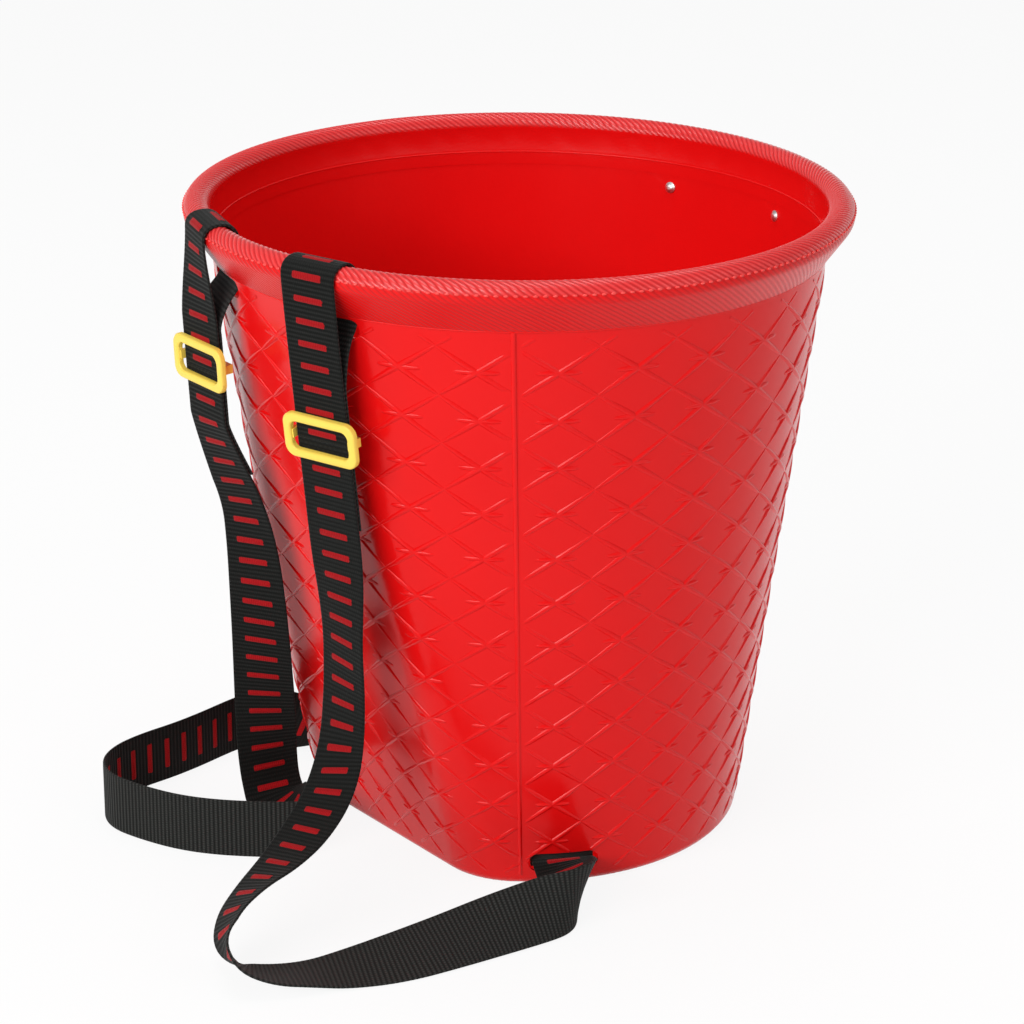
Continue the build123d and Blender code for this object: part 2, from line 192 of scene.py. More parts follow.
class FinishGraph(Graph):
    """Shader tree of one material."""

    def __init__(self, name: str) -> None:
        """Make the material with an empty tree.

        Args:
            name: The material's name.
        """
        self.material = bpy.data.materials.new(name)
        self.material.use_nodes = True
        super().__init__(self.material.node_tree)
        self.tree.nodes.clear()

    def surface(self, shader: Socket) -> bpy.types.Material:
        """The material, with a shader as its surface."""
        self.node("ShaderNodeOutputMaterial", {"Surface": shader})
        return self.material

    def finish(self, **inputs: Any) -> bpy.types.Material:
        """End the tree with a Principled shader.

        Args:
            inputs: Its sockets by name, with underscores for spaces.

        Returns:
            The finished material.
        """
        sockets = {name.replace("_", " "): value for name, value in inputs.items()}
        return self.surface(self.node("ShaderNodeBsdfPrincipled", sockets))

    def place(self) -> Socket:
        """Object coordinates."""
        return self.node("ShaderNodeTexCoord", output="Object")

    def noise(self, scale: float, detail: float) -> Socket:
        """Noise of a scale per metre, with so many octaves."""
        inputs = {"Vector": self.place(), "Scale": scale, "Detail": detail}
        return self.node("ShaderNodeTexNoise", inputs, "Fac")

    def blend(self, factor: Socket, low: Triple | Socket, high: Triple | Socket) -> Socket:
        """Colour between two, by a factor.

        Args:
            factor: Zero for the first, one for the second.
            low: The first colour.
            high: The second colour.

        Returns:
            The mixed colour.
        """
        first, second = (c if isinstance(c, Socket) else (*c, 1.0) for c in (low, high))
        inputs = {0: factor, 6: first, 7: second}
        return self.node("ShaderNodeMix", inputs, 2, data_type="RGBA")

    def bump(self, height: Socket, distance: float) -> Socket:
        """Normal bent by a height, where one stands for a distance in millimetres."""
        return self.node("ShaderNodeBump", {"Height": height, "Distance": distance * MM})


@dataclass(frozen=True)
class MouldedPlastic:
    """Coloured moulded plastic with a faint orange peel and cloudy gloss."""

    name: str
    colour: Triple
    shade: Triple
    roughness: float
    spread: float
    peel: float
    specular: float
    cloud_scale: float = 9.0
    wave_scale: float = 24.0
    wave: float = 0.5
    relief: float = 0.25

    def material(self) -> bpy.types.Material:
        """Make the finish.

        Returns:
            Its material.
        """
        graph = FinishGraph(self.name)
        cloud = graph.noise(self.cloud_scale, detail=3.0)
        peel = graph.noise(PEEL_SCALE, detail=2.0)
        wave = graph.noise(self.wave_scale, detail=1.0)
        return graph.finish(
            Base_Color=graph.blend(cloud, self.shade, self.colour),
            Roughness=self.roughness + self.spread * (cloud - 0.5),
            Specular_IOR_Level=self.specular,
            Normal=graph.bump(peel * self.peel + wave * self.wave, self.relief),
        )


@dataclass(frozen=True)
class HatchedPlastic:
    """Plastic of the rolled rim: painted shade in the hatching's grooves, a paler pink bead as a
    painted highlight, and glossier on the bead.
    """

    name: str = "red_rim_plastic"
    colour: Triple = (0.78, 0.008, 0.008)
    # Painted shade: the colours in the hatching's grooves, on the band and on the bead.
    groove: Triple = (0.50, 0.003, 0.004)
    # The bead's paler pink is a painted highlight.
    painted_bead_highlight: Triple = (0.81, 0.05, 0.05)
    bead_groove_painted_shade: Triple = (0.46, 0.006, 0.008)
    bead_foot: float = 438.9
    bead_gloss: float = 0.4
    coat_roughness: float = 0.2
    cloud_scale: float = 11.0
    cloud_share: float = 0.2
    roughness: float = 0.24
    spread: float = 0.06
    groove_dulling: float = 0.12
    specular: float = 0.2
    relief: float = 0.05

    def material(self) -> bpy.types.Material:
        """Make the finish.

        Returns:
            Its material.
        """
        graph = FinishGraph(self.name)
        deep = graph.node("ShaderNodeAttribute", output="Fac", attribute_name="groove")
        height = graph.node("ShaderNodeSeparateXYZ", {0: graph.place()}, "Z")
        bead = (height / MM - self.bead_foot).clamped()
        cloud = graph.noise(self.cloud_scale, detail=3.0)
        peel = graph.noise(PEEL_SCALE, detail=2.0)
        # Painted shade darkens the colour in the hatching's grooves, with a random cloudy share.
        share = deep * (1.0 - self.cloud_share) + (cloud - 0.5) * self.cloud_share
        on_band = graph.blend(share, self.colour, self.groove)
        # On the bead a paler pink stands in as a painted highlight.
        on_bead = graph.blend(share, self.painted_bead_highlight, self.bead_groove_painted_shade)
        return graph.finish(
            Base_Color=graph.blend(bead, on_band, on_bead),
            Roughness=self.roughness + self.spread * (cloud - 0.5) + self.groove_dulling * deep,
            Specular_IOR_Level=self.specular,
            Coat_Weight=bead * (1.0 - deep) * self.bead_gloss,
            Coat_Roughness=self.coat_roughness,
            Normal=graph.bump(peel, self.relief),
        )


@dataclass(frozen=True)
class Weave:
    """The webbing's width, its ribs, and the red bars on one of its faces.

    A strap's UV map counts bars along U. V goes from -0.5 to 0.5 across the barred face, lies
    round bare_v where that face has no bars, and lies round plain_v on the other face.
    """

    width: float = 42.0
    bar_pitch: float = 15.4
    bar_height: float = 4.4
    bar_length: float = 22.5
    bar_corner: float = 1.1
    ribs_per_bar: float = 5.0
    bare_v: float = 0.75
    bare_share: float = 0.45
    plain_from: float = 1.0
    plain_v: float = 2.0


WEAVE = Weave()


@dataclass(frozen=True)
class Webbing:
    """Black webbing with cross ribs and red bars, read from a strap's own UV map, with painted
    sheen in grey on its ribs and yarns, kept dimmer on the barred face as painted shade.
    """

    name: str = "webbing"
    black: Triple = (0.0032, 0.0036, 0.0031)
    # Grey that stands for painted sheen on the ribs and yarns, and for random fuzz.
    fuzz_and_sheen_grey: Triple = (0.05, 0.051, 0.048)
    red: Triple = (0.43, 0.008, 0.011)
    deep_red: Triple = (0.23, 0.003, 0.005)
    yarns: float = 24.0
    bar_threads: float = 30.0
    fuzz_scale: float = 900.0
    ragged: float = 1.2
    # Share of the grey kept on the barred face, which darkens that face as painted shade.
    barred_face_painted_shade: float = 0.28
    rib_painted_sheen: float = 0.25
    yarn_painted_sheen: float = 0.45
    fuzz_wear: float = 0.3
    roughness: float = 0.8
    rib_polish: float = 0.15
    specular: float = 0.08
    sheen: float = 0.07
    sheen_roughness: float = 0.45
    relief: float = 0.22

    def material(self) -> bpy.types.Material:
        """Make the finish.

        Returns:
            Its material.
        """
        graph = FinishGraph(self.name)
        place = graph.node("ShaderNodeUVMap", uv_map=WEAVE_MAP)
        along = graph.node("ShaderNodeSeparateXYZ", {0: place}, "X")
        across = graph.also(along, "Y")
        rib = (along * (WEAVE.ribs_per_bar * TURN)).wave("COSINE")
        row = (along * WEAVE.ribs_per_bar + 0.5).math("FLOOR")
        yarn = (across * (self.yarns * TURN) + row * math.pi).wave("SINE")
        thread = (across * (self.bar_threads * TURN)).wave("SINE")
        fuzz = graph.noise(self.fuzz_scale, detail=3.0)
        up = (along.math("FRACT") - 0.5).math("ABSOLUTE") * WEAVE.bar_pitch
        aside = across.math("ABSOLUTE") * WEAVE.width
        high = (up - (WEAVE.bar_height / 2 - WEAVE.bar_corner)).math("MAXIMUM", 0.0)
        long = aside - (WEAVE.bar_length / 2 - WEAVE.bar_corner) + (fuzz - 0.5) * self.ragged
        long = long.math("MAXIMUM", 0.0)
        bar = (high * high + long * long) < WEAVE.bar_corner**2
        # Grey on the ribs and yarns is painted sheen, mixed with random fuzz; the barred face keeps
        # less of it, as painted shade.
        plain = across > WEAVE.plain_from
        face_painted_light = plain * (1.0 - self.barred_face_painted_shade) + self.barred_face_painted_shade
        fuzz_and_sheen = (rib * (self.rib_painted_sheen + self.yarn_painted_sheen * yarn) + fuzz * self.fuzz_wear) * face_painted_light
        cloth = graph.blend(fuzz_and_sheen, self.black, self.fuzz_and_sheen_grey)
        stripe = graph.blend(thread * 0.5 + fuzz * 0.5, self.deep_red, self.red)
        height = rib * 0.5 + yarn * 0.25 + fuzz * 0.3 + thread * bar * 0.5
        return graph.finish(
            Base_Color=graph.blend(bar, cloth, stripe),
            Roughness=self.roughness - self.rib_polish * rib,
            Specular_IOR_Level=self.specular,
            Sheen_Weight=self.sheen,
            Sheen_Roughness=self.sheen_roughness,
            Normal=graph.bump(height, self.relief),
        )


@dataclass(frozen=True)
class BrightMetal:
    """Polished metal with fine scratches."""

    name: str
    colour: Triple
    roughness: float
    spread: float = 0.15
    scratch_scale: float = 1500.0
    scratch_shade: float = 0.8

    def material(self) -> bpy.types.Material:
        """Make the finish.

        Returns:
            Its material.
        """
        graph = FinishGraph(self.name)
        scratch = graph.noise(self.scratch_scale, detail=4.0)
        shade = tuple(self.scratch_shade * c for c in self.colour)
        return graph.finish(
            Base_Color=graph.blend(scratch, shade, self.colour),
            Metallic=1.0,
            Roughness=self.roughness + self.spread * (scratch - 0.5),
        )


class Finishes:
    """Every finish of the object."""

    def __init__(self) -> None:
        """Make the materials."""
        self.red = MouldedPlastic(
            "red_plastic",
            colour=(0.80, 0.006, 0.006),
            shade=(0.72, 0.004, 0.005),
            roughness=0.2,
            spread=0.06,
            peel=0.25,
            specular=0.18,
        ).material()
        self.rim = HatchedPlastic().material()
        # The crease dashes' paler pink is a painted highlight.
        self.dash = MouldedPlastic(
            "red_dash_painted_highlight",
            colour=(0.88, 0.085, 0.075),
            shade=(0.84, 0.05, 0.045),
            roughness=0.22,
            spread=0.06,
            peel=0.1,
            specular=0.3,
        ).material()
        self.yellow = MouldedPlastic(
            "yellow_plastic",
            colour=(0.955, 0.72, 0.12),
            shade=(0.92, 0.65, 0.095),
            roughness=0.34,
            spread=0.1,
            peel=0.35,
            specular=0.3,
        ).material()
        self.webbing = Webbing().material()
        self.rivet = BrightMetal("rivet_metal", (0.93, 0.91, 0.9), roughness=0.34).material()
        self.washer = BrightMetal("washer_metal", (0.62, 0.62, 0.63), roughness=0.3).material()


def linked(name: str, data: bpy.types.ID) -> bpy.types.Object:
    """Make an object.

    Args:
        name: The object's name.
        data: The mesh, lamp or camera that it holds.

    Returns:
        The object, linked to the scene.
    """
    made = bpy.data.objects.new(name, data)
    bpy.context.scene.collection.objects.link(made)
    return made


def applied(piece: bpy.types.Object) -> bpy.types.Object:
    """Turn what a piece's modifiers make into its plain mesh.

    Args:
        piece: The piece, which loses its modifiers.

    Returns:
        The same piece.
    """
    seen = piece.evaluated_get(bpy.context.evaluated_depsgraph_get())
    mesh = bpy.data.meshes.new_from_object(seen)
    piece.modifiers.clear()
    piece.data = mesh
    return piece


class ShapeGraph(Graph):
    """Geometry tree that grows one piece, with named inputs for its sizes."""

    def __init__(self, name: str) -> None:
        """Start an empty tree.

        Args:
            name: The tree's name.
        """
        super().__init__(bpy.data.node_groups.new(name, "GeometryNodeTree"))
        self.values: dict[str, Any] = {}
        self.entry = self.tree.nodes.new("NodeGroupInput")

    def size(self, name: str, value: Any, kind: str = "NodeSocketFloat") -> Socket:
        """Add a named input.

        Args:
            name: The input's name.
            value: What the piece sets it to.
            kind: Blender's socket type.

        Returns:
            The input as a socket in the tree.
        """
        item = self.tree.interface.new_socket(name, in_out="INPUT", socket_type=kind)
        self.values[item.identifier] = value
        return Socket(self, next(s for s in self.entry.outputs if s.identifier == item.identifier))

    def count(self, name: str, value: int) -> Socket:
        """Add a named whole-number input."""
        return self.size(name, value, "NodeSocketInt")

    def shape_of(self, name: str, piece: bpy.types.Object) -> Socket:
        """Add an object input and read its shape."""
        chosen = self.size(name, piece, "NodeSocketObject")
        return self.node("GeometryNodeObjectInfo", {"Object": chosen}, "Geometry")

    def vector(self, x: Any, y: Any, z: Any) -> Socket:
        """Vector from three values."""
        return self.node("ShaderNodeCombineXYZ", {0: x, 1: y, 2: z})

    def vector_math(self, operation: str, inputs: dict[str | int, Any]) -> Socket:
        """Add one Vector Math node."""
        return self.node("ShaderNodeVectorMath", inputs, operation=operation)

    def coordinates(self) -> tuple[Socket, Socket, Socket]:
        """A point's three coordinates."""
        x = self.node("ShaderNodeSeparateXYZ", {0: self.node("GeometryNodeInputPosition")})
        return x, self.also(x, 1), self.also(x, 2)

    def circle(self, steps: int, radius: Any) -> Socket:
        """Round curve."""
        inputs = {"Resolution": steps, "Radius": radius}
        return self.node("GeometryNodeCurvePrimitiveCircle", inputs)

    def moved(self, shape: Socket, place: Socket) -> Socket:
        """Shape with its points at new places."""
        return self.node("GeometryNodeSetPosition", {"Geometry": shape, "Position": place})

    def raised(self, shape: Socket, height: float) -> Socket:
        """Shape lifted by a height in millimetres."""
        inputs = {"Geometry": shape, "Translation": (0.0, 0.0, height * MM)}
        return self.node("GeometryNodeTransform", inputs)

    def marked(self, shape: Socket, name: str, value: Socket) -> Socket:
        """Shape with a number stored on each of its points."""
        inputs = {"Geometry": shape, "Name": name, "Value": value}
        return self.node("GeometryNodeStoreNamedAttribute", inputs, domain="POINT")

    def realized(self, shape: Socket) -> Socket:
        """Shape with its instances turned into a mesh."""
        return self.node("GeometryNodeRealizeInstances", {0: shape})

    def grow(self, name: str, shape: Socket, material: bpy.types.Material) -> bpy.types.Object:
        """Finish the tree and turn what it makes into a plain mesh.

        Args:
            name: The piece's name.
            shape: The tree's last shape.
            material: The piece's finish.

        Returns:
            The piece, linked to the scene.
        """
        self.tree.interface.new_socket("Shape", in_out="OUTPUT", socket_type="NodeSocketGeometry")
        smooth = self.node("GeometryNodeSetShadeSmooth", {0: self.realized(shape)})
        dressed = self.node("GeometryNodeSetMaterial", {0: smooth, "Material": material})
        self.node("NodeGroupOutput", {0: dressed})
        piece = linked(name, bpy.data.meshes.new(name))
        modifier = piece.modifiers.new("shape", "NODES")
        modifier.node_group = self.tree
        for identifier, value in self.values.items():
            modifier[identifier] = value
        return applied(piece)


def plain_piece(
    name: str, points: np.ndarray, faces: Sequence[Sequence[int]], material: bpy.types.Material
) -> bpy.types.Object:
    """Smooth mesh piece.

    Args:
        name: The piece's name.
        points: Its points, in metres.
        faces: Its faces, by point number.
        material: Its finish.

    Returns:
        The piece, linked to the scene.
    """
    mesh = bpy.data.meshes.new(name)
    mesh.from_pydata([tuple(p) for p in points], [], [tuple(f) for f in faces])
    mesh.polygons.foreach_set("use_smooth", [True] * len(mesh.polygons))
    mesh.materials.append(material)
    return linked(name, mesh)


def smoothed_copy(
    node: bpy.types.Object, name: str, sharp: float, material: bpy.types.Material
) -> bpy.types.Object:
    """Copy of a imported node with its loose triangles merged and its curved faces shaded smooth.

    Args:
        node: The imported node.
        name: The copy's name.
        sharp: Edges that turn by more than this, in degrees, stay sharp.
        material: The copy's finish.

    Returns:
        The copy, linked to the scene.
    """
    shape = bmesh.new()
    shape.from_mesh(node.data)
    bmesh.ops.remove_doubles(shape, verts=shape.verts, dist=WELD)
    for face in shape.faces:
        face.smooth = True
        face.material_index = 0
    for edge in shape.edges:
        edge.smooth = edge.calc_face_angle(0.0) < math.radians(sharp)
    mesh = bpy.data.meshes.new(name)
    shape.to_mesh(mesh)
    shape.free()
    if "custom_normal" in mesh.attributes:
        mesh.attributes.remove(mesh.attributes["custom_normal"])
    mesh.materials.append(material)
    piece = linked(name, mesh)
    piece.modifiers.new("even", "WEIGHTED_NORMAL").keep_sharp = True
    return applied(piece)


def settle(piece: bpy.types.Object, body: Body, slot: str, *nodes: str) -> None:
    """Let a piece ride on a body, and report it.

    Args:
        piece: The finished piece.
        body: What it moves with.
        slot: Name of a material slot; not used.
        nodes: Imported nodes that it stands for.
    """
    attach(piece, body.value)
    if nodes:
        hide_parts(*nodes)
    log.info("%s: %d faces", piece.name, len(piece.data.polygons))


@dataclass
class Basket:
    """The moulded basket: its wall, the raised lattice on it, and the hatched rim."""

    nodes: dict[str, bpy.types.Object]
    finishes: Finishes
    sharp: float = 32.0
    wall_top: float = 411.0
    axis_forward: float = 8.0
    axis_lean: float = 0.0181
    ray_start: float = 0.3
    ray_limit: float = 0.25
    columns: int = 25
    first_column: float = 30.1
    rows: int = 14
    row_stretch: float = 0.012
    row_zero: float = 34.5
    row_reach: float = 2466.0
    cell_width: float = 26.0
    cell_height: float = 31.5
    dash_length: float = 15.0
    ridge_sunk: float = 0.5
    lattice_foot: float = 7.0
    lattice_gap: float = 0.5
    end_fade: float = 7.0
    seam_angle: float = 51.0
    seam_reach: float = 180.0
    seam_gap: float = 2.2
    seam_fade: float = 3.0
    seam_foot: Triple = (117.56, -87.36, 9.0)
    seam_head: Triple = (161.65, -130.34, 411.0)
    seam_radius: float = 1.75
    seam_sunk: float = 0.65
    seam_sides: int = 20
    seam_steps: int = 60
    bead_ring: float = 216.0
    bead_height: float = 437.0
    bead_radius: float = 9.0
    band_foot: float = 208.0
    band_end: float = -25.0
    crease_angle: float = 14.0
    crease_rate: float = 0.55
    crease_depth: float = 0.1
    hatch_end: float = 172.0
    hatches: int = 276
    hatch_steps: int = 8
    hatch_rows: int = 30
    hatch_slope: float = 1.25
    hatch_rise: float = 0.38
    hatch_fade: tuple[float, float] = (0.6, 0.4)
    skin: float = 0.06
    band_share: float = 0.4
    stitches: int = 234
    stitch_out: float = 0.3
    stitch_half: tuple[float, float] = (1.75, 0.8)
    line_steps: tuple[int, int] = (360, 8)
    band_line: tuple[float, float] = (207.9, 0.55)
    inner_line: Triple = (205.5, 420.0, 0.7)

    def build(self) -> None:
        """Make every piece of the basket."""
        node = self.nodes["basket_shell"]
        shell = smoothed_copy(node, "moulded_shell", self.sharp, self.finishes.red)
        settle(shell, Body.BASKET, "red_plastic", "basket_shell")
        radius, half = self.band_line
        for piece in (
            self.lattice(shell),
            self.seams(),
            self.hatching(),
            self.stitch_line(),
            self.ring_line("band_foot_line", radius, self.wall_top, half),
            self.ring_line("inner_wall_line", *self.inner_line),
        ):
            settle(piece, Body.BASKET, "red_plastic")

    def star(self) -> bpy.types.Object:
        """One crossing of the lattice, laid flat: X in columns, Y in rows, Z the rise.

        Returns:
            Its six tapered ridges as one mesh, which isn't part of the object.
        """
        stations = (0.0, 0.08, 0.3, 0.6, 0.85, 1.0)
        slanting = ((2.2, 2.3, 2.2, 1.9, 1.4, 0.9), (1.1, 1.2, 1.1, 0.85, 0.45, 0.15))
        level = ((2.0, 2.0, 2.0, 1.8, 1.4, 0.6), (1.1, 1.15, 1.1, 0.95, 0.55, 0.0))
        crest = ((-0.85, 0.08), (-0.32, 0.86), (0.0, 1.0), (0.32, 0.86), (0.85, 0.08))
        section = ((-1.0, None), *crest, (1.0, None))
        wide, high, size = self.cell_width, self.cell_height, len(section)
        points: list[Triple] = []
        faces: list[tuple[int, ...]] = []
        for right, up in ((1, 1), (1, -1), (-1, 1), (-1, -1), (1, 0), (-1, 0)):
            reach = Vector((right * (wide if up else self.dash_length), up * high / 2))
            side = Vector((-reach.y, reach.x)).normalized()
            widths, rises = slanting if up else level
            start = len(points)
            for share, width, rise in zip(stations, widths, rises):
                for aside, lift in section:
                    flat = reach * share + side * (aside * width)
                    height = -self.ridge_sunk if lift is None else rise * lift
                    points.append((flat.x / wide, flat.y / high, height * MM))
            for i in range(len(stations) - 1):
                for a in range(start + i * size, start + (i + 1) * size - 1):
                    faces.append((a, a + size, a + size + 1, a + 1))
        return plain_piece("lattice_star", np.array(points), faces, self.finishes.red)

    def lattice(self, shell: bpy.types.Object) -> bpy.types.Object:
        """Raised diamond lattice, laid on the shell's outside.

        Args:
            shell: The shell that it lies on.

        Returns:
            The lattice as one piece.
        """
        star = self.star()
        graph = ShapeGraph("wall_lattice")
        wall = graph.shape_of("Shell", shell)
        crossing = graph.shape_of("Star", star)
        columns = graph.count("Columns", self.columns)
        rows = graph.count("Rows", self.rows)
        top = graph.size("Wall top", (self.wall_top - self.lattice_gap) * MM)
        low = graph.size("Wall foot", self.lattice_foot * MM)
        first = graph.size("First column", math.radians(self.first_column))
        sizes = {0: (columns - 1) * 2, 1: rows - 1, 2: columns, 3: rows}
        grid = graph.node("GeometryNodeMeshGrid", sizes)
        layout = {"Points": grid, "Instance": crossing}
        flat = graph.realized(graph.node("GeometryNodeInstanceOnPoints", layout))
        # A column is an angle round the basket, and a row is a height on its wall.
        column, row, rise = graph.coordinates()
        angle = first + column * (math.pi / self.columns)
        off_seam = (angle.math("ABSOLUTE") - math.radians(self.seam_angle)).math("ABSOLUTE")
        beside = (off_seam * self.seam_reach - self.seam_gap) / self.seam_fade
        # Rows stand a little farther apart towards the rim.
        step = row + ((self.rows - 1) / 2 - 1)
        climb = (step * self.row_stretch).math("EXPONENT") * self.row_reach
        height = (climb - (self.row_reach - self.row_zero)) * MM
        inside = (top - height).math("MINIMUM", height - low) / (self.end_fade * MM)
        # Ridges sink into the wall beside the seams and at its foot and top.
        sunk = self.ridge_sunk * MM
        rise = (rise + sunk) * (beside.clamped() * inside.clamped()) - sunk
        # A ray from outside finds each point's place on the wall.
        out = graph.vector(angle.math("SINE"), angle.math("COSINE") * -1.0, 0.0)
        axis = graph.vector(0.0, self.axis_forward * MM - height * self.axis_lean, height)
        start = graph.vector_math("MULTIPLY_ADD", {0: out, 1: (self.ray_start,) * 3, 2: axis})
        ray = {
            "Target Geometry": wall,
            "Source Position": start,
            "Ray Direction": graph.vector_math("SCALE", {0: out, "Scale": -1.0}),
            "Ray Length": 2 * self.ray_start,
        }
        hit = graph.node("GeometryNodeRaycast", ray)
        far = graph.also(hit, "Hit Distance") > self.ray_limit
        lifted = graph.vector_math("SCALE", {0: graph.also(hit, "Hit Normal"), "Scale": rise})
        place = graph.vector_math("ADD", {0: graph.also(hit, "Hit Position"), 1: lifted})
        laid = graph.moved(graph.marked(flat, "gone", (height > top) + (height < low) + far), place)
        gone = graph.node("GeometryNodeInputNamedAttribute", {"Name": "gone"})
        dropped = {"Geometry": laid, "Selection": gone > 0.5}
        kept = graph.node("GeometryNodeDeleteGeometry", dropped)
        clean = graph.node("GeometryNodeRemoveAttribute", {"Geometry": kept, "Name": "gone"})
        piece = graph.grow("wall_lattice", clean, self.finishes.red)
        bpy.data.objects.remove(star)
        return piece

    def seams(self) -> bpy.types.Object:
        """Low round ridges over both mould seams.

        Returns:
            The ridges as one piece.
        """
        foot, head = Vector(self.seam_foot), Vector(self.seam_head)
        inward = Vector((-foot.x, -foot.y, 0.0)).normalized() * self.seam_sunk
        start, end = (foot + inward) * MM, (head + inward) * MM
        graph = ShapeGraph("mould_seams")
        wire = graph.circle(self.seam_sides, graph.size("Radius", self.seam_radius * MM))
        ridges = []
        for side in (1, -1):
            ends = {"Start": (side * start.x, *start.yz), "End": (side * end.x, *end.yz)}
            line = graph.node("GeometryNodeCurvePrimitiveLine", ends)
            steps = {"Curve": line, "Count": self.seam_steps}
            fine = graph.node("GeometryNodeResampleCurve", steps)
            sweep = {"Curve": fine, "Profile Curve": wire, "Fill Caps": True}
            ridges.append(graph.node("GeometryNodeCurveToMesh", sweep))
        joined = graph.node("GeometryNodeJoinGeometry", {0: ridges[0]})
        graph.tree.links.new(ridges[1].socket, joined.socket.node.inputs[0])
        return graph.grow("mould_seams", joined, self.finishes.red)

    def bead_point(self, angle: float) -> tuple[float, float]:
        """Radius and height of the bead's surface at an angle from level, in degrees."""
        turn = math.radians(angle)
        return (
            self.bead_ring + self.bead_radius * math.cos(turn),
            self.bead_height + self.bead_radius * math.sin(turn),
        )

    def hatching(self) -> bpy.types.Object:
        """Skin with slanting ridges, from the band's foot over the bead to its inner side.

        Returns:
            The skin as one piece.
        """
        band_radius, band_height = self.bead_point(self.band_end)
        flare, climb = band_radius - self.band_foot, band_height - self.wall_top
        slant = math.hypot(flare, climb)
        first, last = math.radians(self.band_end), math.radians(self.hatch_end)
        crease = slant + self.bead_radius * (math.radians(self.crease_angle) - first)
        whole = slant + self.bead_radius * (last - first)
        graph = ShapeGraph("rim_hatching")
        hatches = graph.count("Hatches", self.hatches)
        rows = graph.count("Rows", self.hatch_rows)
        rise = graph.size("Rise", self.hatch_rise)
        sizes = {0: hatches, 1: whole, 2: hatches * self.hatch_steps + 1, 3: rows}
        grid = graph.node("GeometryNodeMeshGrid", sizes)
        phase, level, _ = graph.coordinates()
        # The skin goes up the slanting band and then round the bead.
        along = level + whole / 2
        on_band = along.math("MINIMUM", slant)
        on_bead = (along - slant).math("MAXIMUM", 0.0)
        turn = on_bead / self.bead_radius + first
        cosine, sine = turn.math("COSINE"), turn.math("SINE")
        bead_part = along > slant
        band_part = 1.0 - bead_part
        # Ridges fade out at both ends and in the crease, and stand lower on the band.
        ridge = (phase * TURN).wave("COSINE")
        at_foot, at_end = self.hatch_fade
        fade = (along * at_foot).math("MINIMUM", 1.0)
        fade = fade * ((whole - along) * at_end).math("MINIMUM", 1.0)
        groove = 1.0 - ((along - crease).math("ABSOLUTE") * self.crease_rate).math("MINIMUM", 1.0)
        strong = (along > crease) * (1.0 - self.band_share) + self.band_share
        ridged = rise * ridge * fade * strong * (1.0 - groove)
        lift = self.skin + ridged - groove * self.crease_depth
        radius = (
            self.band_foot
            + on_band * (flare / slant)
            + (cosine - math.cos(first)) * self.bead_radius
            + lift * (bead_part * cosine + band_part * (climb / slant))
        )
        height = (
            self.wall_top
            + on_band * (climb / slant)
            + (sine - math.sin(first)) * self.bead_radius
            + lift * (bead_part * sine - band_part * (flare / slant))
        )
        angle = (phase / hatches) * TURN - along * (self.hatch_slope / self.bead_ring)
        x, y = (angle.math(part) * radius * MM for part in ("COSINE", "SINE"))
        # The groove mark is where the rim finish paints shade in the hatching's grooves.
        marked = graph.marked(grid, "groove", 1.0 - ridge)
        skin = graph.moved(marked, graph.vector(x, y, height * MM))
        weld = {"Geometry": skin, "Distance": WELD}
        closed = graph.node("GeometryNodeMergeByDistance", weld)
        return graph.grow("rim_hatching", closed, self.finishes.rim)

    def stitch_line(self) -> bpy.types.Object:
        """Row of short raised dashes in the crease between band and bead.

        Returns:
            The dashes as one piece.
        """
        radius, height = self.bead_point(self.crease_angle)
        long, thick = self.stitch_half
        graph = ShapeGraph("crease_dashes")
        dashes = graph.count("Dashes", self.stitches)
        length = graph.size("Length", long * MM)
        round_rim = {"Vertices": dashes, "Radius": (radius + self.stitch_out) * MM}
        ring = graph.node("GeometryNodeMeshCircle", round_rim)
        ball = {"Segments": 10, "Rings": 6, "Radius": 1.0}
        x, y, _ = graph.coordinates()
        turn = graph.vector(0.0, 0.0, y.math("ARCTAN2", x) + math.pi / 2)
        layout = {
            "Points": ring,
            "Instance": graph.node("GeometryNodeMeshUVSphere", ball),
            "Rotation": graph.node("FunctionNodeEulerToRotation", {0: turn}),
            "Scale": graph.vector(length, thick * MM, thick * MM),
        }
        row = graph.realized(graph.node("GeometryNodeInstanceOnPoints", layout))
        # Their paler finish is a painted highlight.
        return graph.grow("crease_dashes", graph.raised(row, height), self.finishes.dash)

    def ring_line(self, name: str, radius: float, height: float, half: float) -> bpy.types.Object:
        """Fine raised line round the basket.

        Args:
            name: The line's name.
            radius: Radius of its ring.
            height: Height of its ring.
            half: Half of its thickness.

        Returns:
            The line as one piece.
        """
        graph = ShapeGraph(name)
        ring_steps, wire_steps = self.line_steps
        ring = graph.circle(ring_steps, graph.size("Radius", radius * MM))
        sweep = {"Curve": ring, "Profile Curve": graph.circle(wire_steps, half * MM)}
        line = graph.node("GeometryNodeCurveToMesh", sweep)
        return graph.grow(name, graph.raised(line, height), self.finishes.rim)


class BarredFace(Enum):
    """The face of a strap that carries the bars, by its line's direction and its width."""

    DOWN_RUN = 1.0
    UP_RUN = -1.0


def facing(angle: float) -> Triple:
    """Level direction across a strap whose face looks out at an angle from -Y towards +X."""
    return (math.cos(math.radians(angle)), math.sin(math.radians(angle)), 0.0)


def spline_points(points: Sequence[Sequence[float]], steps: int = 32) -> np.ndarray:
    """Points of the smooth line that a route's points control.

    Args:
        points: The route's points.
        steps: Points read from each span of the line.

    Returns:
        The line's points, one a row.
    """
    curve = bpy.data.curves.new("line", "CURVE")
    curve.dimensions = "3D"
    curve.resolution_u = steps
    spline = curve.splines.new("NURBS")
    spline.points.add(len(points) - 1)
    for control, place in zip(spline.points, points):
        control.co = (*place, 1.0)
    spline.order_u = 3
    spline.use_endpoint_u = True
    holder = bpy.data.objects.new("line", curve)
    mesh = bpy.data.meshes.new_from_object(holder)
    line = np.array([v.co for v in mesh.vertices], float)
    bpy.data.meshes.remove(mesh)
    bpy.data.curves.remove(curve)
    return line


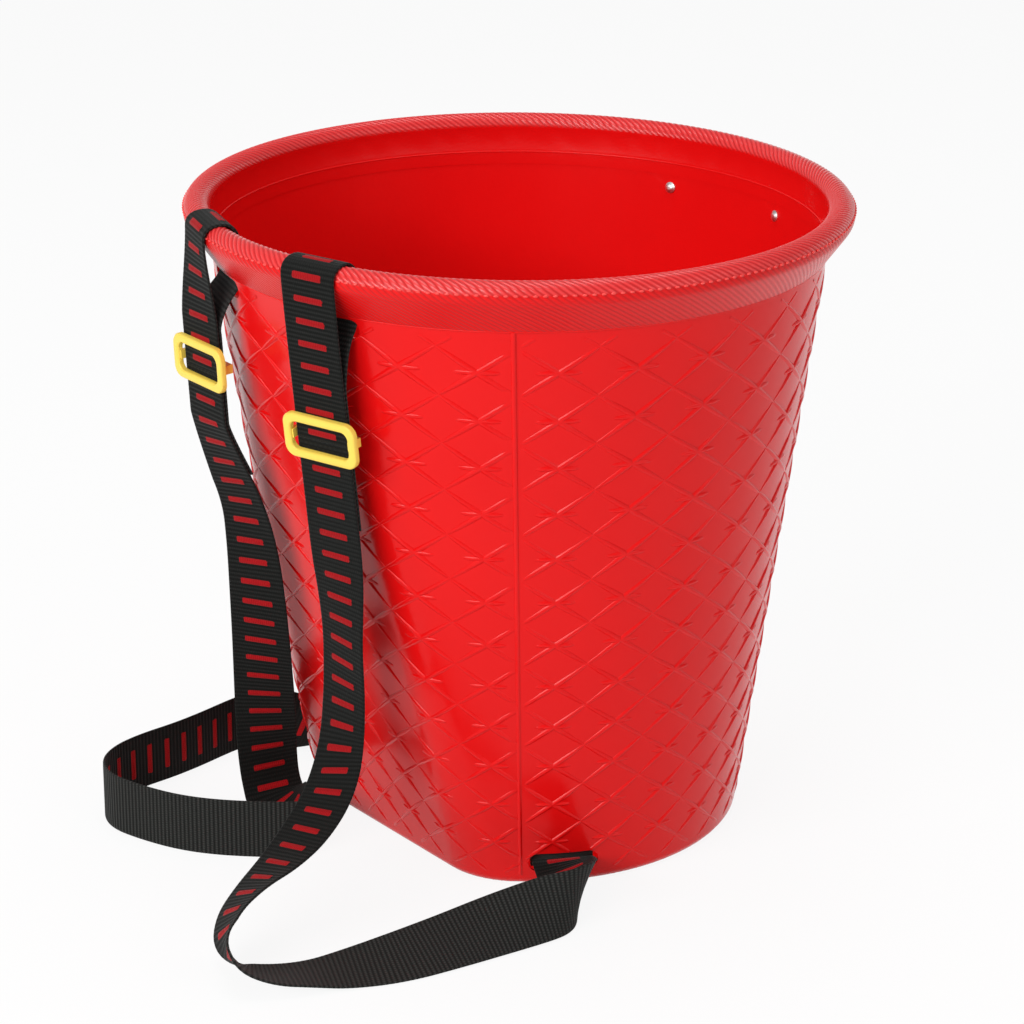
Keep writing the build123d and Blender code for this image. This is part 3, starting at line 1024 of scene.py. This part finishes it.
@dataclass
class Strap:
    """One length of webbing along a route of points, each with the direction across it there."""

    name: str
    node: str
    route: Route
    barred: BarredFace
    first_bar: float
    bare: tuple[float, float] = (2000.0, 2000.0)
    bare_take: float = 0.0
    thickness: float = 1.8
    step: float = 0.5
    rib_rise: float = 0.25
    selvage: float = 0.46
    selvage_ribs: float = 0.25
    bar_rise: float = 0.25
    bar_steepness: float = 2.0
    line: np.ndarray = field(default_factory=lambda: np.zeros((0, 3)))

    def frames(self) -> tuple[np.ndarray, np.ndarray, np.ndarray, np.ndarray]:
        """Even steps along the strap.

        Returns:
            Distances, places, directions across and directions out of the barred face.
        """
        middle = [np.array(point) for point, _ in self.route]
        edge = [np.array(point) + WEAVE.width / 2 * np.array(wide) for point, wide in self.route]
        centre, side = spline_points(middle), spline_points(edge)
        self.line = centre * MM
        gaps = np.linalg.norm(np.diff(centre, axis=0), axis=1)
        along = np.concatenate([[0.0], np.cumsum(gaps)])
        marks = np.linspace(0.0, along[-1], round(along[-1] / self.step) + 1)
        place, wide = (
            np.stack([np.interp(marks, along, column) for column in values.T], axis=1)
            for values in (centre, side - centre)
        )
        heading = np.gradient(place, axis=0)
        heading /= np.linalg.norm(heading, axis=1)[:, None]
        wide -= heading * (wide * heading).sum(axis=1)[:, None]
        wide /= np.linalg.norm(wide, axis=1)[:, None]
        out = np.cross(heading, wide) * self.barred.value
        return marks, place, wide, out

    def section(self) -> list[Triple]:
        """The strap's cross section.

        Returns:
            Place across from -0.5 to 0.5, height as a share of half the thickness, and face, 1 or
            -1, of each point.
        """
        half = (0.0, 0.13, 0.262, 0.28, 0.36, 0.44, 0.475, 0.494, 0.5)
        heights = {0.5: 0.35, 0.494: 0.72, 0.475: 0.95}
        places = [-v for v in half[:0:-1]] + list(half)
        upper = [(v, heights.get(abs(v), 1.0), 1.0) for v in places]
        return upper + [(v, height, -1.0) for v, height, _ in reversed(upper)]

    def build(self, finishes: Finishes) -> bpy.types.Object:
        """Make the strap with its cross ribs and raised bars.

        Args:
            finishes: The object's finishes.

        Returns:
            The strap as one piece.
        """
        marks, place, wide, out = self.frames()
        section = self.section()
        ribs = np.cos(marks / (WEAVE.bar_pitch / WEAVE.ribs_per_bar) * TURN)
        barred = (marks < self.bare[0]) | (marks > self.bare[1])
        counted = marks - self.first_bar + (marks > self.bare[1]) * self.bare_take
        reach = counted / WEAVE.bar_pitch
        off_bar = np.abs(counted % WEAVE.bar_pitch - WEAVE.bar_pitch / 2)
        on_bar = np.clip((WEAVE.bar_height / 2 - off_bar) * self.bar_steepness, 0.0, 1.0) * barred
        # The section is swept along the strap, with ribs on both faces and bars on one.
        rings = []
        for v, share, face in section:
            woven = 1.0 if abs(v) < self.selvage else self.selvage_ribs
            lift = self.thickness / 2 * share + (ribs - 1.0) * self.rib_rise / 2 * woven
            if face > 0 and abs(v) * WEAVE.width < WEAVE.bar_length / 2:
                lift = lift + on_bar * self.bar_rise
            rings.append(place + wide * (v * WEAVE.width) + out * (lift * face)[:, None])
        points = np.stack(rings, axis=1).reshape(-1, 3) * MM
        size, count = len(section), len(marks)
        flip = self.barred is BarredFace.UP_RUN
        faces: list[tuple[int, ...]] = []
        uvs: list[tuple[float, float]] = []

        def add(corners: list[tuple[int, int]], on_barred: bool) -> None:
            """Add a face with its UV places.

            Args:
                corners: Each corner's ring and its place in the section.
                on_barred: Whether it lies on the face with the bars.
            """
            for i, j in reversed(corners) if flip else corners:
                v = section[j][0]
                if not on_barred:
                    v = WEAVE.plain_v + v
                elif not barred[i]:
                    v = WEAVE.bare_v + WEAVE.bare_share * v
                uvs.append((float(reach[i]), v))
            turned = corners[::-1] if flip else corners
            faces.append(tuple(i * size + j for i, j in turned))

        for i in range(count - 1):
            for j in range(size):
                k = (j + 1) % size
                on_barred = section[j][2] > 0 and section[k][2] > 0
                add([(i, j), (i, k), (i + 1, k), (i + 1, j)], on_barred)
        add([(0, j) for j in range(size - 1, -1, -1)], False)
        add([(count - 1, j) for j in range(size)], False)
        piece = plain_piece(self.name, points, faces, finishes.webbing)
        layer = piece.data.uv_layers.new(name=WEAVE_MAP)
        layer.data.foreach_set("uv", np.array(uvs, np.float32).ravel())
        settle(piece, Body.BASKET, "webbing", self.node)
        return piece


@dataclass(frozen=True)
class Roll:
    """The rolled end of a strap behind its lower slot, flattened against the wall."""

    side: int
    name: str
    out: tuple[float, float] = (0.882948, -0.469472)
    slot: Triple = (135.119, -64.170, 18.0)
    behind: float = 9.257
    turns: float = 2.35
    steps: int = 120
    tightening: float = 0.72
    depth: float = 3.6
    height: float = 4.1
    flat: float = 4.0
    flat_rate: float = 2.2
    thickness: float = 0.495
    least_depth: float = 1.2
    flip_angle: float = 0.01
    plain_place: float = 0.3

    def outline(self) -> list[np.ndarray]:
        """Draw the roll's section.

        Returns:
            Depth and height of its points, along the outside and back along the inside.
        """
        turns = np.linspace(0.0, self.turns * TURN, self.steps)
        outer, inner = [], []
        for turn, share in zip(turns, 1.0 - turns / turns[-1] * self.tightening):
            rise = math.sin(turn)
            above = math.copysign(1.0, math.sin(turn + self.flip_angle))
            flat = self.flat * share * above * min(1.0, abs(rise) * self.flat_rate)
            ring = np.array(
                [self.depth * share * math.cos(turn), self.height * share * rise + flat]
            )
            outer.append(ring)
            inner.append(ring * (1.0 - self.thickness / max(self.depth * share, self.least_depth)))
        return outer + inner[::-1]

    def build(self, finishes: Finishes) -> bpy.types.Object:
        """Make the roll.

        Args:
            finishes: The object's finishes.

        Returns:
            The roll as one piece.
        """
        x, y = self.out
        out, level = np.array([self.side * x, y, 0.0]), np.array([y, -self.side * x, 0.0])
        up = np.array([0.0, 0.0, 1.0])
        centre = np.array([self.side * self.slot[0], *self.slot[1:]]) - out * self.behind
        loop = self.outline()
        size = len(loop)
        points = [
            centre + out * deep + up * high + level * half
            for half in (-WEAVE.width / 2, WEAVE.width / 2)
            for deep, high in loop
        ]
        faces: list[tuple[int, ...]] = [
            (j, (j + 1) % size, size + (j + 1) % size, size + j) for j in range(size)
        ]
        for base in (0, size):
            for j in range(self.steps - 1):
                faces.append((base + j, base + j + 1, base + size - 2 - j, base + size - 1 - j))
        piece = plain_piece(self.name, np.array(points) * MM, faces, finishes.webbing)
        shape = bmesh.new()
        shape.from_mesh(piece.data)
        bmesh.ops.recalc_face_normals(shape, faces=shape.faces)
        shape.to_mesh(piece.data)
        shape.free()
        layer = piece.data.uv_layers.new(name=WEAVE_MAP)
        corner = np.array([0.0, WEAVE.plain_v + self.plain_place], np.float32)
        layer.data.foreach_set("uv", np.tile(corner, len(piece.data.loops)))
        return piece


@dataclass
class Harness:
    """Both straps: loops over the rim, free runs to the lower slots, and their rolled ends."""

    finishes: Finishes
    loop_angle: float = 16.5
    left_length: float = 0.629
    right_length: float = 0.705
    edge_height: float = 21.8

    def build(self) -> None:
        for strap in (self.left_loop(), self.right_loop()):
            strap.build(self.finishes)
        runs = ((self.left_run(), self.left_length), (self.right_run(), self.right_length))
        for strap, length in runs:
            piece = strap.build(self.finishes)
            tuple(c * MM for c in strap.route[0][0])
        for side, name in ((1, "left"), (-1, "right")):
            roll = Roll(side, f"{name}_rolled_end").build(self.finishes)
            settle(roll, Body.BASKET, "webbing", f"{name}_strap_stop")

    def over_rim(self, side: int) -> Route:
        """The part of a loop that lies over the rim and comes back out through the slot.

        Args:
            side: 1 for the left strap, -1 for the right.

        Returns:
            That part of the loop's route.
        """
        places = (
            (64.24, -216.89, 428.0),
            (64.24, -216.89, 447.2),
            (57.08, -192.71, 447.2),
            (57.08, -192.71, 407.0),
            (59.93, -202.31, 395.0),
        )
        wide = facing(side * self.loop_angle)
        return [((side * x, y, z), wide) for x, y, z in places]

    def left_loop(self) -> Strap:
        """The left strap from its free run up over the rim, out of the slot and down behind.

        Returns:
            The loop.
        """
        wide = facing(self.loop_angle)
        route = [
            ((57.65, -194.63, 261.0), wide),
            *self.over_rim(1),
            ((61.2, -206.61, 368.33), wide),
            ((60.71, -204.97, 356.0), wide),
            ((57.21, -193.15, 267.33), wide),
        ]
        return Strap(
            "left_strap_loop",
            "left_rim_loop",
            route,
            BarredFace.UP_RUN,
            first_bar=7.5,
            bare=(53.5, 66.0),
            bare_take=5.2,
        )

    def right_loop(self) -> Strap:
        """The right strap from its free run up over the rim, out of the slot and down behind.

        Returns:
            The loop.
        """
        level = facing(0.0)
        route = [
            ((-58.01, -195.84, 264.0), facing(12.0)),
            ((-62.55, -211.18, 306.0), level),
            ((-62.74, -211.82, 318.0), level),
            ((-63.6, -214.73, 372.0), level),
            ((-63.79, -215.37, 384.0), level),
            *self.over_rim(-1),
            ((-63.7, -212.65, 378.13), level),
            ((-63.54, -212.11, 368.0), level),
            ((-62.74, -209.42, 318.0), level),
            ((-62.55, -208.78, 306.13), level),
            ((-59.06, -195.79, 270.77), facing(10.3)),
        ]
        return Strap(
            "right_strap_loop",
            "right_rim_loop",
            route,
            BarredFace.UP_RUN,
            first_bar=8.5,
            bare=(73.0, 84.0),
            bare_take=3.2,
        )

    def left_run(self) -> Strap:
        """The left strap down to the floor, along it on its barred face, and into the slot.

        Returns:
            The free run.
        """
        route = [
            ((57.65, -194.63, 261.0), facing(self.loop_angle)),
            ((56.87, -191.99, 241.19), facing(self.loop_angle)),
            ((56.0, -189.0, 213.0), facing(8.0)),
            ((55.5, -187.6, 182.0), facing(1.0)),
            ((52.2, -184.6, 143.5), (0.99, 0.08, 0.1)),
            ((54.8, -189.0, 109.5), (0.98, 0.15, 0.12)),
            ((68.0, -208.3, 85.0), (0.98, 0.18, 0.07)),
            ((76.8, -233.0, 68.0), (0.99, 0.14, 0.06)),
            ((83.0, -258.0, 56.0), (0.98, 0.05, 0.2)),
            ((87.0, -284.0, 47.0), (0.92, -0.07, 0.38)),
            ((92.0, -304.0, 37.0), (0.88, -0.17, 0.44)),
            ((102.0, -317.0, 24.0), (0.85, -0.3, 0.42)),
            ((118.0, -315.0, 12.0), (0.83, -0.43, 0.34)),
            ((130.0, -298.0, 6.0), (0.82, -0.54, 0.2)),
            ((140.0, -275.0, 3.5), (0.83, -0.54, 0.1)),
            ((149.0, -254.4, 4.0), (0.88, -0.46, -0.12)),
            ((163.5, -221.4, 8.6), (0.89, -0.28, -0.36)),
            ((170.3, -186.4, 11.8), (0.86, -0.16, -0.48)),
            ((176.8, -150.6, 15.8), (0.73, -0.13, -0.67)),
            ((184.5, -118.5, 19.8), (0.52, -0.08, -0.85)),
            ((188.0, -101.0, 21.8), (0.1, 0.0, -0.99)),
            ((183.0, -86.0, 21.8), (-0.1, -0.19, -0.98)),
            ((173.5, -79.5, 20.2), (-0.25, -0.47, -0.85)),
            ((158.08, -76.38, 18.0), (-0.4, -0.75, -0.53)),
            ((130.93, -61.94, 18.0), (-0.47, -0.88, 0.0)),
        ]
        return Strap(
            "left_strap_run", "left_shoulder_run", route, BarredFace.DOWN_RUN, first_bar=7.9
        )

    def right_run(self) -> Strap:
        """The right strap down to the floor, round in a loop on edge, and into the slot.

        Returns:
            The free run.
        """
        on_edge = (
            (-22.0, -162.0), (-7.0, -167.0), (-5.0, -180.0), (-17.0, -197.0),
            (-41.8, -224.4), (-66.2, -242.7), (-95.7, -255.0), (-123.0, -262.0),
            (-146.5, -255.0), (-161.7, -235.6), (-167.8, -210.2), (-169.4, -181.7),
            (-173.4, -156.3), (-178.5, -134.0), (-182.0, -115.0),
        )
        route = [
            ((-58.01, -195.84, 264.0), facing(12.0)),
            ((-55.99, -189.01, 245.31), facing(12.0)),
            ((-54.6, -184.3, 214.0), facing(22.0)),
            ((-53.8, -181.8, 180.0), facing(30.0)),
            ((-58.4, -176.7, 143.5), facing(36.0)),
            ((-65.9, -170.4, 107.5), facing(44.0)),
            ((-72.5, -165.0, 76.0), facing(56.0)),
            ((-76.7, -161.7, 49.0), facing(70.0)),
            ((-75.0, -160.4, 26.5), facing(75.0)),
            ((-63.0, -163.0, 16.0), (0.24, 0.9, 0.36)),
            ((-42.0, -163.0, 17.0), (0.15, 0.55, 0.82)),
            *(((x, y, self.edge_height), (0.0, 0.0, 1.0)) for x, y in on_edge),
            ((-181.0, -99.5, 21.6), (-0.02, 0.03, 1.0)),
            ((-172.0, -86.0, 20.6), (-0.12, 0.23, 0.96)),
            ((-158.08, -76.38, 18.0), (-0.4, 0.75, 0.53)),
            ((-130.93, -61.94, 18.0), (-0.47, 0.88, 0.0)),
        ]
        return Strap(
            "right_strap_run", "right_shoulder_run", route, BarredFace.DOWN_RUN, first_bar=6.9
        )


@dataclass
class Fittings:
    """Slide buckles, rivets and washers, as imported, with smooth edges and their finishes."""

    nodes: dict[str, bpy.types.Object]
    finishes: Finishes
    sharp: float = 50.0

    def build(self) -> None:
        """Make every fitting."""
        rows = (
            ("left_buckle", Body.LEFT_SLIDER, "yellow_plastic", self.finishes.yellow),
            ("right_buckle", Body.RIGHT_SLIDER, "yellow_plastic", self.finishes.yellow),
            ("front_rivets", Body.BASKET, "rivet_metal", self.finishes.rivet),
            ("rivet_washers", Body.BASKET, "washer_metal", self.finishes.washer),
        )
        for node, body, slot, material in rows:
            piece = smoothed_copy(self.nodes[node], f"{node}_finished", self.sharp, material)
            settle(piece, body, slot, node)


@dataclass
class Studio:
    """Plain pale floor, soft light and the photograph's camera."""

    camera_place: Triple = (1.6942, -1.3237, 1.0207)
    looking: Triple = (-0.73891, 0.57521, -0.35091)
    roll: float = 0.3
    lens: float = 116.05
    sensor: float = 36.0
    view_end: float = 100.0
    floor_turns: int = 72
    floor_rings: tuple[tuple[float, float], ...] = (
        (13.0, 0.0), (15.0, 0.25), (17.0, 1.0),
        (18.5, 2.3), (19.5, 4.0), (20.0, 6.0),
    )
    floor_colour: Triple = (0.9, 0.9, 0.9)
    white_share: float = 0.9
    surroundings: float = 0.32

    def build(self) -> None:
        """Set up floor, lamps, world and camera."""
        self.floor()
        self.world()
        self.lamp("key", (0.9, -3.5, 2.0), (0.0, 0.0, 0.25), size=(3.0, 1.3), power=116.0)
        self.lamp("side", (3.2, 0.9, 1.9), (0.0, 0.0, 0.25), size=(2.0, 2.0), power=18.0)
        self.lamp("top", (-0.3, 0.3, 3.2), (0.0, 0.0, 0.3), size=(1.6, 1.6), power=36.0)
        self.camera()
        bpy.context.scene.view_settings.view_transform = "Standard"

    def background(self, graph: Graph) -> Socket:
        """Tell rays that see, mirror or pass through to the floor from those that light it.

        Args:
            graph: The floor's tree.

        Returns:
            One for the first kind, and zero for the second.
        """
        seen = graph.node("ShaderNodeLightPath", output="Is Camera Ray")
        mirrored = graph.also(seen, "Is Glossy Ray")
        through = graph.also(seen, "Is Transmission Ray")
        return (seen + mirrored + through).math("MINIMUM", 1.0)

    def floor(self) -> None:
        """Pale floor, turned up at its far edge, that shows white and keeps the object's shadow."""
        count = self.floor_turns
        turns = np.linspace(0.0, TURN, count, endpoint=False)
        points = np.concatenate(
            [
                np.stack((r * np.cos(turns), r * np.sin(turns), np.full_like(turns, z)), axis=1)
                for r, z in self.floor_rings
            ]
        )
        faces: list[tuple[int, ...]] = [tuple(range(count))]
        for a in range(0, len(points) - count, count):
            for i in range(count):
                j = (i + 1) % count
                faces.append((a + i, a + count + i, a + count + j, a + j))
        graph = FinishGraph("pale_floor")
        lit = graph.node("ShaderNodeBsdfDiffuse", {"Color": (*self.floor_colour, 1.0)})
        white = graph.node("ShaderNodeEmission", {"Color": WHITE, "Strength": 1.0})
        factor = self.background(graph) * self.white_share
        mixed = graph.node("ShaderNodeMixShader", {0: factor, 1: lit, 2: white})
        plain_piece("pale_floor", points, faces, graph.surface(mixed))

    def world(self) -> None:
        """Even white surroundings."""
        world = bpy.data.worlds.new("studio")
        world.use_nodes = True
        world.node_tree.nodes.clear()
        graph = Graph(world.node_tree)
        even = {"Color": WHITE, "Strength": self.surroundings}
        light = graph.node("ShaderNodeBackground", even)
        graph.node("ShaderNodeOutputWorld", {"Surface": light})
        bpy.context.scene.world = world

    def lamp(
        self, name: str, place: Triple, aim: Triple, size: tuple[float, float], power: float
    ) -> None:
        """Add one soft lamp.

        Args:
            name: The lamp's name.
            place: Where it hangs, in metres.
            aim: What it points at.
            size: Its width and height, in metres.
            power: Its power, in watts.
        """
        lamp = bpy.data.lights.new(name, "AREA")
        lamp.shape = "RECTANGLE"
        lamp.size, lamp.size_y = size
        lamp.energy = power
        holder = linked(name, lamp)
        holder.location = place
        aimed = (Vector(aim) - Vector(place)).to_track_quat("-Z", "Y")
        holder.rotation_euler = aimed.to_euler()

    def camera(self) -> None:
        """Set the camera at the photograph's angle."""
        forward = Vector(self.looking).normalized()
        level = forward.cross(Vector((0.0, 0.0, 1.0))).normalized()
        upright = level.cross(forward)
        turn = math.radians(self.roll)
        right = level * math.cos(turn) + upright * math.sin(turn)
        up = right.cross(forward)
        data = bpy.data.cameras.new("camera")
        data.lens = self.lens
        data.sensor_width = self.sensor
        data.clip_end = self.view_end
        holder = linked("camera", data)
        turned = Matrix((right, up, -forward)).transposed().to_4x4()
        holder.matrix_world = Matrix.Translation(Vector(self.camera_place)) @ turned
        bpy.context.scene.camera = holder


def clear_scene() -> None:
    """Remove what a new file starts with."""
    for piece in list(bpy.data.objects):
        bpy.data.objects.remove(piece)


def main() -> None:
    """Build every part of the picture in order."""
    logging.basicConfig(level=logging.INFO, format="%(name)s %(message)s")
    clear_scene()
    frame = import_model()
    finishes = Finishes()
    Studio().build()
    Harness(finishes).build()
    Basket(frame["nodes"], finishes).build()
    Fittings(frame["nodes"], finishes).build()


if __name__ == "__main__":
    main()
